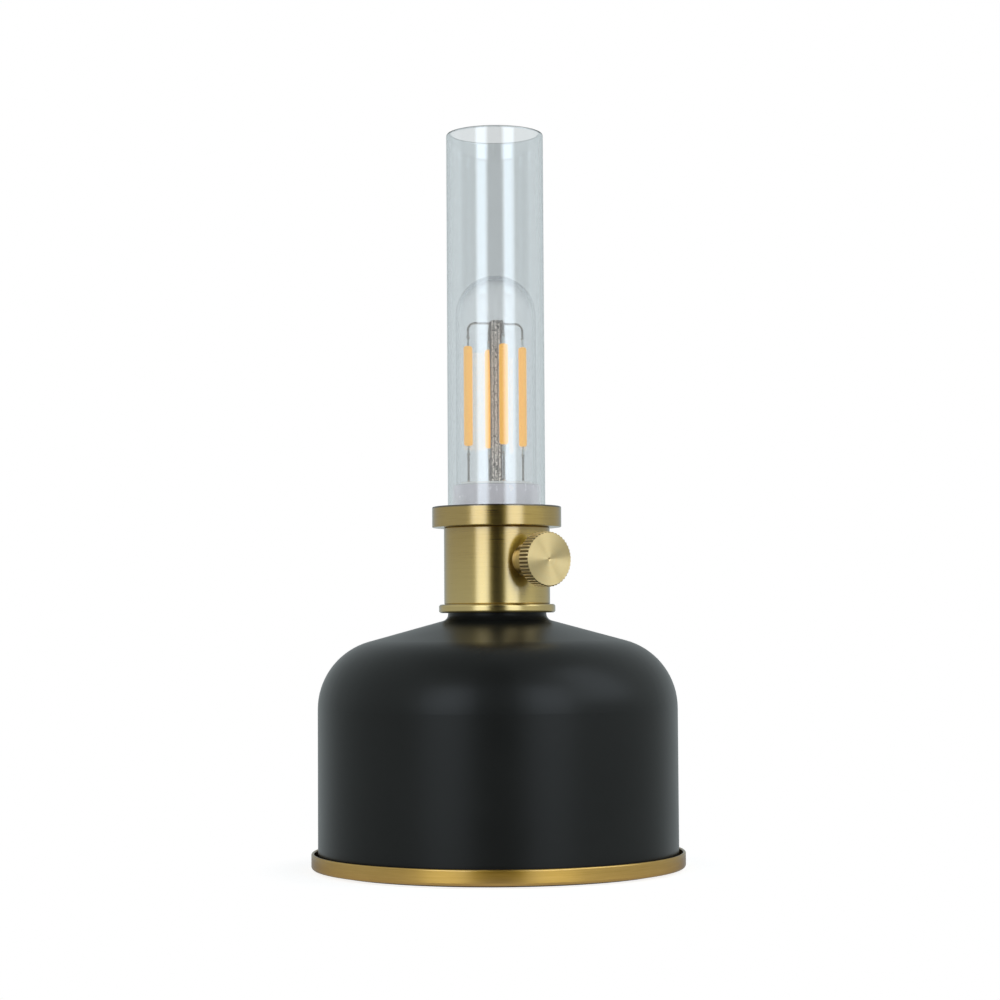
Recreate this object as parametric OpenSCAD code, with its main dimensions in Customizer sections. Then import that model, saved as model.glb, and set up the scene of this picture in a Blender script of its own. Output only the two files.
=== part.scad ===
// Cordless table lantern in the shape of an oil lamp.
// A black spun dome stands in a brass tray and hides the battery. A brass neck on the dome holds
// the dimmer, and a glass chimney stands in the gallery above it, around a filament bulb.
// A hollow tie rod clamps tray, dome, neck ring and collar together and carries the leads.
// Origin: centre of the surface that the lantern stands on. +Z is up, and the knob faces -Y.
// Sizes are in millimetres and degrees.

/* [Dome] */
// Outside diameter of the dome's straight wall
dome_d = 146.6; // [142:0.2:156]
// Height of the dome from its edge to its flat top
dome_h = 101.9; // [92:0.1:120]
// Sheet thickness of the dome
dome_t = 1.2; // [0.8:0.1:1.8]
// Outside radius between the wall and the sloping shoulder
shoulder_r = 28.3; // [22:0.1:34]
// Slope of the shoulder
shoulder_slope = 15.3; // [10:0.1:20]
// Diameter of the dome's neck
neck_d = 40.2; // [36:0.2:43]
// Hollow radius between shoulder and neck
neck_fillet = 2.9; // [2:0.1:4]
// Height of the neck's straight top
neck_lip = 0.4; // [0.2:0.1:1]

/* [Base tray] */
// Sheet thickness of the tray
tray_t = 1.2; // [0.8:0.1:1.6]
// Outside height of the tray's rim
tray_rim_h = 6.3; // [5:0.1:9]
// Gap between the tray's rim and the dome
rim_gap = 1.5; // [1:0.1:3]
// Height of the tray's raised middle
tray_step_h = 4; // [3.8:0.1:6]
// How far the foot pad stands below the tray
pad_proud = 0.8; // [0.5:0.1:2]
// Diameter of the pad's hole, around the lower nut
pad_hole_d = 28; // [24:1:50]

/* [Tie rod] */
// Thread diameter of the hollow rod
rod_d = 10; // [9:0.5:12]
// Bore of the rod, for the leads
rod_bore_d = 7; // [6.4:0.1:8]
// Width of a nut across its flats
nut_af = 14; // [13:0.5:18]
// Thickness of a nut
nut_h = 3; // [2.5:0.1:3.2]
// Diameter of a washer
washer_d = 18; // [16:0.5:22]
// Thickness of a washer
washer_t = 1; // [0.8:0.1:1.2]
// How far the rod stands out of the upper nut
rod_out = 1.6; // [0.5:0.1:3]
// Height of the middle of the rod's slot above the tray's middle
slot_rise = 55; // [45:1:65]
// Length of the rod's slot between its round ends
slot_l = 10; // [8:0.5:16]
// Width of the rod's slot
slot_w = 5.4; // [5.2:0.1:6]

/* [Neck] */
// Diameter of the brass ring under the collar
ring_d = 47.6; // [45:0.2:54]
// Height of that ring
ring_h = 3.5; // [3:0.1:6]
// Outside diameter of the collar
collar_d = 43.3; // [42:0.1:45]
// Height of the collar between ring and gallery
collar_h = 31.4; // [30:0.1:40]
// Wall of the collar
collar_t = 1.5; // [1:0.1:2]
// Floor of the collar
collar_floor_t = 2; // [1.5:0.1:3]
// Outside diameter of the gallery that holds the chimney
gallery_d = 52.9; // [50:0.1:58]
// Height of the gallery above the collar
gallery_h = 8.5; // [7:0.1:12]
// Floor of the gallery
gallery_floor_t = 3; // [2:0.1:4]
// Wall of the gallery's spigot in the collar
spigot_t = 2; // [1.5:0.1:2.5]
// How far the gallery's spigot reaches into the collar
spigot_h = 3.6; // [2.5:0.1:4.5]
// Rounding of the turned brass edges
brass_edge = 0.5; // [0.2:0.1:0.9]

/* [Chimney] */
// Outside diameter of the chimney
chimney_d = 39.9; // [38.6:0.1:40.6]
// Wall of the chimney
chimney_t = 1.7; // [1.3:0.1:1.9]
// Length of the chimney
chimney_h = 158.2; // [130:0.1:190]
// How deep the chimney stands in the gallery
seat_depth = 4.2; // [3:0.1:5]
// Height of the clear seat above the chimney's foot
seat_h = 13; // [10:0.5:16]
// Width of the ledge that the seat rests on
seat_ledge = 2; // [1:0.1:3]
// Rounding of the seat's upper edge
seat_edge = 0.8; // [0.3:0.1:1]

/* [Bulb] */
// Outside diameter of the bulb's glass
bulb_d = 33; // [30:0.1:33.4]
// Wall of the bulb's glass
bulb_t = 1.4; // [1:0.1:1.6]
// Length of the bulb's glass
bulb_h = 89.2; // [85:0.1:100]
// Depth of the bulb's groove in the seat
bulb_socket_h = 3; // [2:0.1:5]
// Diameter of the LED board
led_board_d = 29.2; // [26:0.1:29.6]
// Thickness of the LED board
led_board_t = 1; // [0.6:0.1:1.6]
// Number of filaments
filament_n = 4; // [2:1:6]
// Length of a filament
filament_l = 41; // [36:0.5:43]
// Diameter of a filament's coat
filament_d = 3.5; // [3.2:0.1:3.8]
// Rounding of a filament's ends
filament_round = 0.8; // [0.3:0.1:0.8]
// Diameter of the circle that the filaments stand on
filament_ring_d = 23.2; // [20:0.1:24]
// Turn of the first filament from +X
filament_turn = -20; // [-45:1:45]
// Height of the filaments above the LED board
filament_rise = 15; // [12:0.5:18]
// Length of a filament's flat pin
pin_l = 3.6; // [2:0.1:5]
// Width of a filament's flat pin
pin_w = 1.3; // [1:0.1:1.6]
// Thickness of a filament's flat pin
pin_t = 0.6; // [0.4:0.1:0.8]
// Diameter of the support wires
wire_d = 0.9; // [0.6:0.1:1.2]
// Height of the hooks above the filaments
hook_rise = 9.5; // [8:0.5:11]
// Radius of a hook's bend
hook_bend_r = 3; // [2:0.1:4]
// Diameter of the stem at its foot
stem_foot_d = 4.8; // [4.4:0.1:5.4]
// Diameter of the stem at its waist
stem_waist_d = 4.5; // [4.4:0.1:4.8]
// Height of the stem's waist above the LED board
stem_waist_h = 34; // [20:0.5:45]
// Diameter of the stem at its top
stem_top_d = 5.6; // [4.8:0.1:6.4]
// Wall of the stem's glass
stem_t = 0.4; // [0.3:0.1:0.5]
// Diameter of a lead in the stem
stem_lead_d = 1.5; // [1:0.1:1.6]
// Diameter of the hub on the stem
hub_d = 5.8; // [5:0.1:6.6]
// Height of the hub
hub_h = 3; // [2:0.1:4]

/* [Dimmer] */
// Diameter of the knob over its ribs
knob_d = 22; // [18:0.5:26]
// Length of the knob
knob_l = 6; // [5:0.1:10]
// Number of grooves around the knob
knurl_n = 44; // [36:1:52]
// Radius of a groove
knurl_r = 0.56; // [0.3:0.02:0.6]
// Bevel of the knob's edges
knob_bevel = 0.5; // [0.3:0.1:0.8]
// Diameter of the lathe centre's dimple in the knob's face
dimple_d = 1.4; // [0.8:0.1:2]
// Depth of the dimple
dimple_h = 0.4; // [0.2:0.1:0.6]
// Thickness of the knob's face over the spindle
knob_face_t = 1.6; // [1.2:0.1:2.5]
// Distance from the collar to the back of the knob
knob_gap = 8.7; // [8.2:0.1:12]
// Height of the knob's axis above the foot of the collar
knob_rise = 17.6; // [16.5:0.1:18.5]
// Diameter of the ferrule behind the knob
ferrule_d = 13.8; // [11:0.1:15]
// Length of the ferrule from the collar
ferrule_l = 7.6; // [6:0.1:8]
// Diameter of the dimmer's spindle
spindle_d = 6; // [5:0.1:6]
// Depth of the flat on the spindle
spindle_flat = 0.7; // [0.4:0.1:1]
// Thread diameter of the dimmer's bush
bush_d = 8; // [7.4:0.1:9]
// Diameter of the dimmer's can
can_d = 16.5; // [15:0.1:17.5]
// Depth of the dimmer's can
can_h = 6; // [5:0.1:6.5]
// Wall of the dimmer's can
can_t = 0.6; // [0.4:0.1:0.8]
// Thickness of the plate in front of the can
plate_t = 1.4; // [1:0.1:1.8]
// Thickness of the wafer with the track
wafer_t = 1.2; // [1:0.1:1.6]
// Length of the terminals below the can
terminal_l = 3.6; // [3:0.1:4.5]
// Thickness of the rotor
rotor_t = 2; // [1.5:0.1:2.5]
// Clearance around the rotor in the can
rotor_gap = 0.8; // [0.5:0.1:1.2]
// Width of the rotor's wiper
wiper_w = 2; // [1.5:0.1:3]
// Thickness of the rotor's wiper
wiper_t = 1; // [0.6:0.1:1.4]
// Diameter of the knob's grub screw
grub_d = 3; // [2:0.1:3.5]
// Width of the grub screw's socket across its flats
grub_socket_w = 1.5; // [1:0.1:1.8]
// Depth of the grub screw's socket
grub_socket_h = 1.6; // [1:0.1:2.4]

/* [Power] */
// Diameter of a cell
cell_d = 18.4; // [17:0.1:19]
// Length of a cell
cell_l = 65; // [60:0.5:66]
// Distance of a cell from the lantern's axis
cell_offset = 20; // [19:0.1:23]
// Diameter of a cell's positive cap
cell_cap_d = 7; // [5:0.1:9]
// Height of a cell's positive cap
cell_cap_h = 1; // [0.6:0.1:1.6]
// Thickness of the carrier's floor
carrier_t = 2.5; // [2:0.1:3.5]
// Thickness of the carrier's end walls and ribs
carrier_wall_t = 2.2; // [1.8:0.1:3]
// Room for a contact at each end of a cell
contact_room = 2.4; // [2:0.1:3]
// Thickness of a contact's plate
contact_t = 0.6; // [0.4:0.1:0.8]
// Width of a contact's plate
contact_w = 9; // [8:0.5:11]
// Width of the driver board
pcb_w = 30; // [28:0.5:32]
// Length of the driver board
pcb_l = 22; // [20:0.5:23]
// Thickness of the driver board
pcb_t = 1.6; // [1:0.1:2]
// Height of the bosses under the driver board
pcb_boss_h = 4.5; // [4:0.1:7]
// Diameter of those bosses
pcb_boss_d = 5.5; // [5:0.1:6]
// Width of a plug on the driver board
plug_w = 7; // [6:0.1:8]
// Length of a plug on the driver board
plug_l = 5.5; // [5:0.1:6]
// Height of a plug on the driver board
plug_h = 5; // [4:0.1:7]
// Distance between the plugs
plug_pitch = 9; // [8.2:0.1:9.5]
// Diameter of the coils on the driver board
coil_d = 7; // [5:0.1:7.5]
// Height of the coils on the driver board
coil_h = 4.2; // [3:0.1:6]
// Thread diameter of the small screws
screw_d = 3; // [2:0.1:3]
// Head diameter of the small screws
screw_head_d = 5.5; // [4.5:0.1:6]
// Head height of the small screws
screw_head_h = 2; // [1.4:0.1:2.4]
// Length of the slots that cross in a small screw's head
cross_l = 3.4; // [2.4:0.1:3.6]
// Width of those slots
cross_w = 0.8; // [0.5:0.1:1]
// Depth of those slots
cross_h = 1.1; // [0.6:0.1:1.2]
// Width of the charge port
port_w = 8.9; // [8.5:0.1:9.2]
// Height of the charge port
port_h = 3.2; // [3:0.1:3.4]
// Depth of the charge port
port_l = 7.4; // [7:0.1:9]
// Wall of the charge port
port_t = 0.35; // [0.3:0.05:0.45]
// Wall of the bezel around the port
bezel_t = 1; // [0.8:0.1:1.5]
// How far the bezel's lip stands around the opening
bezel_lip = 1.4; // [1:0.1:2]
// Thickness of the bezel's lip outside the dome
bezel_lip_t = 0.6; // [0.4:0.1:1]
// Diameter of the leads
lead_d = 2.2; // [1.8:0.1:2.3]

/* [Hidden] */
$fn = 96;

// Clearance of pieces that are fitted together and stay still
fit = 0.15;
// Clearance of the chimney, which lifts off
slip = 0.3;
// Radial clearance of the turning spindle
running = 0.05;
// Room around a coil on the driver board
coil_gap = 1;
// Length by which a cutting shape passes the face that it cuts
over = 1;
// Number of sides of a lead, and the points on each stretch of its curve
lead_sides = 8;
lead_steps = 4;

brass = [0.72, 0.59, 0.30];
black_paint = [0.12, 0.13, 0.13];
clear_glass = [0.80, 0.86, 0.88, 0.35];
clear_plastic = [0.80, 0.80, 0.84, 0.6];
phosphor = [0.95, 0.72, 0.36];
bright_metal = [0.78, 0.78, 0.77];
dark_wire = [0.35, 0.34, 0.33];
zinc = [0.66, 0.67, 0.68];
foam = [0.10, 0.10, 0.10];
black_plastic = [0.08, 0.08, 0.09];
board_green = [0.10, 0.32, 0.20];
board_white = [0.86, 0.86, 0.85];
cell_wrap = [0.16, 0.36, 0.60];
wafer_brown = [0.45, 0.30, 0.18];
lead_red = [0.62, 0.10, 0.09];
lead_white = [0.84, 0.84, 0.83];

// Radii, from the axis outwards
dome_r = dome_d/2;
dome_in_r = dome_r - dome_t;
step_r = dome_in_r - fit;
base_r = dome_r + rim_gap + tray_t;
rod_r = rod_d/2;
rod_hole_r = rod_r + fit;
collar_r = collar_d/2;
collar_in_r = collar_r - collar_t;
chimney_r = chimney_d/2;
chimney_in_r = chimney_r - chimney_t;
bulb_r = bulb_d/2;
bulb_in_r = bulb_r - bulb_t;
seat_r = chimney_in_r - slip;
gallery_bore_r = seat_r - seat_ledge;
seat_spigot_r = gallery_bore_r - fit;
filament_ring_r = filament_ring_d/2;

// Heights, from the ground up
tray_z = pad_proud;
dome_z = tray_z + tray_t;
deck_under_z = tray_z + tray_step_h;
deck_z = deck_under_z + tray_t;
dome_top_z = dome_z + dome_h;
collar_z = dome_top_z + ring_h;
collar_floor_z = collar_z + collar_floor_t;
gallery_z = collar_z + collar_h;
gallery_top_z = gallery_z + gallery_h;
seat_z = gallery_top_z - seat_depth;
seat_top_z = seat_z + seat_h;
bulb_z = seat_top_z - bulb_socket_h;
led_board_top_z = seat_top_z + led_board_t;
filament_z = led_board_top_z + filament_rise;
hook_z = filament_z + filament_l + hook_rise;
hub_z = hook_z - hub_h/2;
stem_waist_z = led_board_top_z + stem_waist_h;
lower_nut_z = deck_under_z - washer_t - nut_h;
upper_nut_z = collar_floor_z + washer_t;
rod_top_z = upper_nut_z + nut_h + rod_out;
slot_z = deck_z + slot_rise;
knob_z = collar_z + knob_rise;

// The dome's outline: centres of its two arcs, with the slope between them tangent to both
hollow_c_r = neck_d/2 + neck_fillet;
hollow_c_z = dome_top_z - neck_lip;
shoulder_c_r = dome_r - shoulder_r;
slope_run = shoulder_c_r + (shoulder_r + neck_fillet)*sin(shoulder_slope) - hollow_c_r;
shoulder_c_z = hollow_c_z - (shoulder_r + neck_fillet)*cos(shoulder_slope)
    - slope_run*tan(shoulder_slope);

// The dimmer, as distances from the lantern's axis along the knob's axis
can_r = can_d/2;
plate_front = sqrt(pow(collar_in_r, 2) - pow(can_r, 2)) - fit;
plate_back = plate_front - plate_t;
wafer_back = plate_back - wafer_t;
can_back = wafer_back - can_h;
rotor_back = can_back + can_t + rotor_gap;
ferrule_end = collar_r + ferrule_l;
knob_back = collar_r + knob_gap;
knob_front = knob_back + knob_l;
spindle_end = knob_front - knob_face_t;
spindle_r = spindle_d/2;
grub_l = knob_d/2 - spindle_r - knurl_r;

// The power pack on the tray's raised middle
cell_r = cell_d/2;
carrier_top_z = deck_z + carrier_t;
cell_z = carrier_top_z + cell_r + fit;
cell_wall_y = cell_l/2 + contact_room;
carrier_y = cell_wall_y + carrier_wall_t;
carrier_x = cell_offset + cell_r + carrier_wall_t;
cell_wall_top_z = cell_z + contact_w/2;
tab_top_z = cell_wall_top_z + contact_t;
pcb_back_y = sqrt(pow(dome_in_r, 2) - pow(pcb_w/2, 2)) - slip;
pcb_front_y = pcb_back_y - pcb_l;
pcb_z = carrier_top_z + pcb_boss_h;
pcb_top_z = pcb_z + pcb_t;
pcb_screw_x = pcb_w/2 - pcb_boss_d/2;
pcb_screw_y = pcb_front_y + pcb_boss_d/2;
carrier_screw_y = (rod_hole_r + cell_wall_y)/2 + screw_d;
port_z = pcb_top_z + port_h/2;
port_front_y = dome_r - dome_t/2;
plug_y = pcb_front_y + pcb_boss_d + plug_l/2;
plug_top_z = pcb_top_z + plug_h;
lead_x = lead_d/2 + fit;
battery_lead_x = plug_w/4;

// Route of a lead from the driver board's plug, through the rod's slot and up the rod
function rod_route(side, plug_x) = [
    [plug_x, plug_y, plug_top_z],
    [plug_x, plug_y, plug_top_z + 6],
    [plug_x*0.8, plug_y - 6, plug_top_z + 18],
    [side*lead_x*1.6, 20, slot_z - 14],
    [side*lead_x, rod_d*0.95, slot_z - 5],
    [side*lead_x, rod_d*0.25, slot_z + 2.5],
    [side*lead_x, 0, slot_z + 12],
    [side*lead_x, 0, slot_z + 24],
    [side*lead_x, 0, rod_top_z - 1],
];
dimmer_lead_end = [0, -(plate_back - wafer_t/2), knob_z - can_r - terminal_l];
dimmer_route = concat(rod_route(1, plug_pitch), [
    [lead_x, -2.5, rod_top_z + 2.2],
    [lead_x, -6, rod_top_z + 1.8],
    [lead_x, -9.6, rod_top_z - 1.2],
    [lead_x/2, -12.4, dimmer_lead_end[2] - 1.6],
    [0, dimmer_lead_end[1] + 1.2, dimmer_lead_end[2] - 2],
    [0, dimmer_lead_end[1], dimmer_lead_end[2] - 1],
    dimmer_lead_end,
]);
led_route = concat(rod_route(-1, -plug_pitch), [
    [-lead_x, 0, rod_top_z + 6],
    [-lead_x/2, 0.8, rod_top_z + 12],
    [0, 0, seat_z - 12],
    [0, 0, seat_z - 4],
    [0, 0, seat_top_z],
]);
function battery_route(side) = [
    [side*cell_offset, carrier_y - lead_d/2, tab_top_z],
    [side*cell_offset, carrier_y - lead_d/2, tab_top_z + 3],
    [side*(cell_offset - 5), carrier_y + 3, tab_top_z + 5],
    [side*(cell_offset - 12), plug_y - 3, plug_top_z + 5],
    [side*battery_lead_x, plug_y, plug_top_z + 3],
    [side*battery_lead_x, plug_y, plug_top_z],
];

// Section of a ring whose two outer edges are rounded
module edged_section(r_in, r_out, z_low, z_high, edge) {
    translate([r_in, z_low]) square([r_out - edge - r_in, z_high - z_low]);
    translate([r_out - edge, z_low + edge]) square([edge, z_high - z_low - 2*edge]);
    for (z = [z_low + edge, z_high - edge]) {
        translate([r_out - edge, z]) circle(edge);
    }
}

// Plain section between two radii and two heights
module plain_section(r_in, r_out, z_low, z_high) {
    translate([r_in, z_low]) square([r_out - r_in, z_high - z_low]);
}

// Flat outline with round ends, as wide as width and as thick as height
module pill(width, height) {
    square([width - height, height], center = true);
    for (side = [-1, 1]) translate([side*(width - height)/2, 0]) circle(height/2);
}

// Places children with +Z running out along the knob's axis and +Y up
module on_knob_axis() {
    translate([0, 0, knob_z]) rotate([90, 0, 0]) children();
}

// Places children with +Z running out of the dome at the charge port and +Y up
module on_port_axis() {
    translate([0, 0, port_z]) rotate([90, 0, 180]) children();
}

// Places one copy of children at each filament, with +X pointing out
module at_filaments() {
    for (i = [0 : filament_n - 1]) rotate(filament_turn + i*360/filament_n) children();
}

// Area inside the dome's surface, set in by a distance, and reaching below the dome's edge
module dome_section(inset, below) {
    slope_top_r = hollow_c_r - (neck_fillet + inset)*sin(shoulder_slope);
    slope_top_z = hollow_c_z - (neck_fillet + inset)*cos(shoulder_slope);
    slope_end_r = shoulder_c_r + (shoulder_r - inset)*sin(shoulder_slope);
    slope_end_z = shoulder_c_z + (shoulder_r - inset)*cos(shoulder_slope);
    plain_section(0, dome_r - inset, dome_z - below, shoulder_c_z);
    intersection() {
        translate([shoulder_c_r, shoulder_c_z]) circle(shoulder_r - inset);
        translate([shoulder_c_r, shoulder_c_z]) square(shoulder_r);
    }
    polygon([[0, shoulder_c_z], [shoulder_c_r, shoulder_c_z], [slope_end_r, slope_end_z],
        [slope_top_r, slope_top_z], [0, slope_top_z]]);
    difference() {
        plain_section(0, slope_top_r, slope_top_z, dome_top_z + over);
        translate([hollow_c_r, hollow_c_z]) circle(neck_fillet + inset);
        plain_section(neck_d/2 - inset, hollow_c_r, hollow_c_z, dome_top_z + 2*over);
        plain_section(0, hollow_c_r, dome_top_z - inset, dome_top_z + 2*over);
    }
}

// Points of a smooth curve through the points of a route
function curve_point(p0, p1, p2, p3, t) = 0.5*(2*p1 + (p2 - p0)*t
    + (2*p0 - 5*p1 + 4*p2 - p3)*t*t + (3*p1 - p0 - 3*p2 + p3)*t*t*t);
function smooth_route(route) = let (last = len(route) - 1) concat(
    [for (i = [0 : last - 1]) for (k = [0 : lead_steps - 1]) curve_point(
        route[max(i - 1, 0)], route[i], route[i + 1], route[min(i + 2, last)], k/lead_steps)],
    [route[last]]);
function unit(v) = v/norm(v);
// Direction of the path at a point. Its ends keep the direction of the route's first and last stretch.
function direction(path, route, i) = let (last = len(route) - 1)
    i == 0 ? unit(route[1] - route[0]) :
    i == len(path) - 1 ? unit(route[last] - route[last - 1]) :
    unit(path[i + 1] - path[i - 1]);
// A cross direction for each point, carried along the path so that the tube doesn't twist
function across(v, d) = unit(v - (v*d)*d);
function side_directions(path, route, i = 0, found = []) = i == len(path) ? found :
    side_directions(path, route, i + 1, concat(found,
        [across(i == 0 ? [1, 0.3, 0.1] : found[i - 1], direction(path, route, i))]));

// Round tube along a route
module lead(route) {
    path = smooth_route(route);
    sides = side_directions(path, route);
    last = len(path) - 1;
    points = [for (i = [0 : last]) for (k = [0 : lead_sides - 1])
        let (a = k*360/lead_sides, d = direction(path, route, i))
        path[i] + lead_d/2*(cos(a)*sides[i] + sin(a)*cross(d, sides[i]))];
    walls = [for (i = [0 : last - 1]) for (k = [0 : lead_sides - 1])
        let (a = i*lead_sides + k, b = i*lead_sides + (k + 1)%lead_sides)
        each [[a, a + lead_sides, b], [b, a + lead_sides, b + lead_sides]]];
    caps = [for (k = [1 : lead_sides - 2]) each [[0, k, k + 1],
        [last*lead_sides, last*lead_sides + k + 1, last*lead_sides + k]]];
    polyhedron(points, concat(walls, caps));
}

// Pan-head screw, pointing down, with the underside of its head at z = 0
module pan_screw(length) {
    translate([0, 0, -length]) cylinder(d = screw_d, h = length);
    difference() {
        rotate_extrude() edged_section(0, screw_head_d/2, 0, screw_head_h, screw_head_h/4);
        for (turn = [0, 90]) rotate(turn)
            translate([-cross_l/2, -cross_w/2, screw_head_h - cross_h])
                cube([cross_l, cross_w, cross_h + over]);
    }
}

// Hexagonal nut without its bore, bevelled at both ends down to its flats
module hex_blank() {
    flat_r = nut_af/2;
    corner_r = flat_r/cos(30);
    cone_r = corner_r + slip;
    cone_h = (cone_r - flat_r)*tan(30);
    intersection() {
        cylinder(r = corner_r, h = nut_h, $fn = 6);
        rotate_extrude() polygon([[0, 0], [flat_r, 0], [cone_r, cone_h], [cone_r, nut_h - cone_h],
            [flat_r, nut_h], [0, nut_h]]);
    }
}

// Base and dome

module foot_pad() color(foam) rotate_extrude()
    plain_section(pad_hole_d/2, step_r - tray_t - fit, 0, deck_under_z);

module base_tray() color(brass) difference() {
    rotate_extrude() {
        plain_section(step_r - tray_t, base_r - tray_t, tray_z, dome_z);
        plain_section(step_r - tray_t, step_r, tray_z, deck_z);
        plain_section(rod_hole_r, step_r, deck_under_z, deck_z);
        plain_section(base_r - tray_t, base_r, dome_z, tray_z + tray_rim_h - tray_t/2);
        translate([base_r - tray_t/2, tray_z + tray_rim_h - tray_t/2]) circle(tray_t/2);
        intersection() {
            translate([base_r - tray_t, dome_z]) circle(tray_t);
            translate([base_r - tray_t, tray_z]) square(tray_t);
        }
    }
    for (side = [-1, 1]) translate([0, side*carrier_screw_y, deck_under_z - over])
        cylinder(d = screw_d + fit, h = tray_t + 2*over);
}

module tie_rod() color(zinc) difference() {
    translate([0, 0, lower_nut_z]) cylinder(r = rod_r, h = rod_top_z - lower_nut_z);
    translate([0, 0, lower_nut_z - over])
        cylinder(d = rod_bore_d, h = rod_top_z - lower_nut_z + 2*over);
    translate([0, 0, slot_z]) rotate([-90, 0, 0]) linear_extrude(rod_d)
        rotate(90) pill(slot_l + slot_w, slot_w);
}

module tie_rod_nuts() color(zinc) for (z = [lower_nut_z, upper_nut_z]) translate([0, 0, z])
    difference() {
        hex_blank();
        translate([0, 0, -over]) cylinder(r = rod_r + running, h = nut_h + 2*over);
    }

module tie_rod_washers() color(zinc)
    for (z = [deck_under_z - washer_t, collar_floor_z]) translate([0, 0, z])
        rotate_extrude() plain_section(rod_hole_r, washer_d/2, 0, washer_t);

module body_dome() color(black_paint) difference() {
    rotate_extrude() difference() {
        dome_section(0, 0);
        dome_section(dome_t, over);
        plain_section(0, rod_hole_r, dome_z, dome_top_z + over);
    }
    on_port_axis() linear_extrude(dome_r + over)
        pill(port_w + 2*(bezel_t + 2*fit), port_h + 2*(bezel_t + 2*fit));
}

// Neck

module neck_ring() color(brass) rotate_extrude()
    edged_section(rod_hole_r, ring_d/2, dome_top_z, collar_z, brass_edge*2);

module neck_collar() color(brass) difference() {
    rotate_extrude() {
        edged_section(collar_in_r, collar_r, collar_z, gallery_z, brass_edge);
        plain_section(rod_hole_r, collar_in_r, collar_z, collar_floor_z);
    }
    on_knob_axis() cylinder(d = bush_d + 2*fit, h = collar_d);
}

module gallery_ring() color(brass) rotate_extrude() {
    edged_section(chimney_r + slip, gallery_d/2, gallery_z, gallery_top_z, brass_edge);
    plain_section(gallery_bore_r, chimney_r + slip, seat_z - gallery_floor_t, seat_z);
    plain_section(collar_in_r - fit - spigot_t, chimney_r + slip, gallery_z,
        seat_z - gallery_floor_t);
    plain_section(collar_in_r - fit - spigot_t, collar_in_r - fit, gallery_z - spigot_h, gallery_z);
}

// Chimney and bulb

module chimney_seat() color(clear_plastic) rotate_extrude() difference() {
    union() {
        plain_section(0, seat_r, seat_z, seat_top_z - seat_edge);
        plain_section(0, seat_r - seat_edge, seat_z, seat_top_z);
        translate([seat_r - seat_edge, seat_top_z - seat_edge]) circle(seat_edge);
        plain_section(0, seat_spigot_r, gallery_z - spigot_h, seat_z);
    }
    plain_section(0, lead_d/2 + 2*fit, gallery_z - spigot_h - over, seat_top_z + over);
    plain_section(bulb_in_r - fit, bulb_r + fit, bulb_z, seat_top_z + over);
}

module glass_chimney() color(clear_glass) rotate_extrude() {
    plain_section(chimney_in_r, chimney_r, seat_z, seat_z + chimney_h - chimney_t/2);
    translate([chimney_r - chimney_t/2, seat_z + chimney_h - chimney_t/2]) circle(chimney_t/2);
}

// Half section of a round-topped bulb of one radius
module bulb_section(r, low_z) {
    cap_z = bulb_z + bulb_h - bulb_r;
    plain_section(0, r, low_z, cap_z);
    intersection() {
        translate([0, cap_z]) circle(r);
        translate([0, cap_z]) square(r);
    }
}

module bulb_glass() color(clear_glass) rotate_extrude() difference() {
    bulb_section(bulb_r, bulb_z);
    bulb_section(bulb_in_r, bulb_z - over);
}

module led_board() color(board_white) translate([0, 0, seat_top_z])
    cylinder(d = led_board_d, h = led_board_t);

module stem_tube() color(clear_glass) rotate_extrude() polygon([
    [stem_foot_d/2, led_board_top_z], [stem_waist_d/2, stem_waist_z], [stem_top_d/2, hub_z],
    [stem_top_d/2 - stem_t, hub_z], [stem_waist_d/2 - stem_t, stem_waist_z],
    [stem_foot_d/2 - stem_t, led_board_top_z]]);

module stem_leads() color(dark_wire) for (side = [-1, 1])
    translate([side*(stem_lead_d/2 + fit), 0, led_board_top_z])
        cylinder(d = stem_lead_d, h = hub_z - led_board_top_z);

module stem_hub() color(dark_wire) rotate_extrude()
    edged_section(0, hub_d/2, hub_z, hub_z + hub_h, hub_h/4);

module led_filaments() color(phosphor) at_filaments() translate([filament_ring_r, 0, 0])
    rotate_extrude()
        edged_section(0, filament_d/2, filament_z, filament_z + filament_l, filament_round);

module filament_pins() color(bright_metal) at_filaments()
    for (z = [filament_z - pin_l, filament_z + filament_l])
        translate([filament_ring_r - pin_t/2, -pin_w/2, z]) cube([pin_t, pin_w, pin_l]);

module support_wires() color(dark_wire) at_filaments() {
    translate([filament_ring_r, 0, led_board_top_z])
        cylinder(d = wire_d, h = filament_rise - pin_l);
    hook();
}

// Wire from a filament's upper pin, over a bend and in to the hub
module hook() {
    pin_top_z = filament_z + filament_l + pin_l;
    reach = filament_ring_r - hook_bend_r - hub_d/2;
    translate([filament_ring_r, 0, pin_top_z])
        cylinder(d = wire_d, h = hook_z - hook_bend_r - pin_top_z);
    translate([filament_ring_r - hook_bend_r, 0, hook_z - hook_bend_r]) rotate([90, 0, 0])
        rotate_extrude(angle = 90) translate([hook_bend_r, 0]) circle(d = wire_d);
    translate([hub_d/2, 0, hook_z]) rotate([0, 90, 0]) cylinder(d = wire_d, h = reach);
}

// Dimmer

module dimmer_bush() color(zinc) on_knob_axis() difference() {
    union() {
        translate([0, 0, plate_back]) cylinder(r = can_r, h = plate_t);
        translate([0, 0, plate_front]) cylinder(d = bush_d, h = ferrule_end - plate_front);
    }
    translate([0, 0, plate_back - over])
        cylinder(r = spindle_r + running, h = ferrule_end - plate_back + 2*over);
}

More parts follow.
